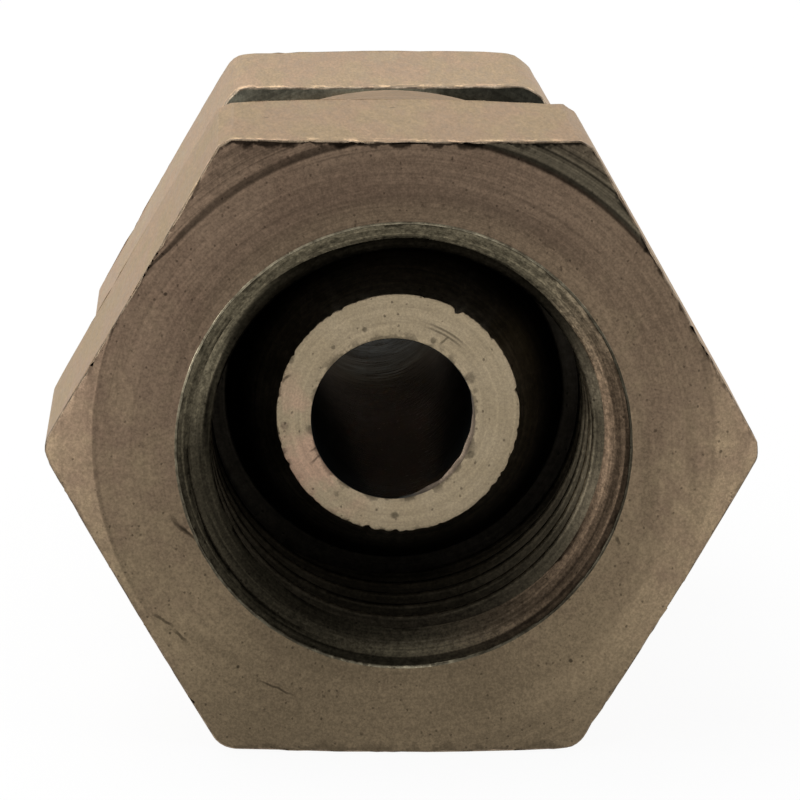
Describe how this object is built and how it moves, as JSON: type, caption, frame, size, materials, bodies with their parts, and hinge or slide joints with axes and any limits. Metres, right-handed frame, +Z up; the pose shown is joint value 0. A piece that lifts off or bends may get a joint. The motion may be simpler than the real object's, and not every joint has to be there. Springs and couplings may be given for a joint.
{
  "type": "hydraulic adapter fitting",
  "caption": "Straight steel hydraulic adapter: a swivel nut with an inner thread turns on a cone nose, with a hexagon and a threaded male end behind it.",
  "frame": {"origin": "on the turning axis, in the plane of the swivel nut's front face", "axes": "+Y along the axis from the swivel's mouth to the male end, +Z up, a flat of each hexagon facing down"},
  "size_m": [0.0217, 0.0363, 0.0191],
  "materials": {
    "nut_steel": "oily turned steel, brownish, with turning lines on the faces",
    "body_steel": "oily turned steel, light tan, with a pale turned nose face"
  },
  "bodies": {
    "body": {"body": "body_steel"},
    "swivel_nut": {"swivel_nut": "nut_steel"}
  },
  "joints": [
    {"name": "nut_spin", "type": "hinge", "parent": "body", "child": "swivel_nut", "pos_m": [0, 0.0095, 0], "axis": [0, 1, 0], "continuous": true}
  ]
}
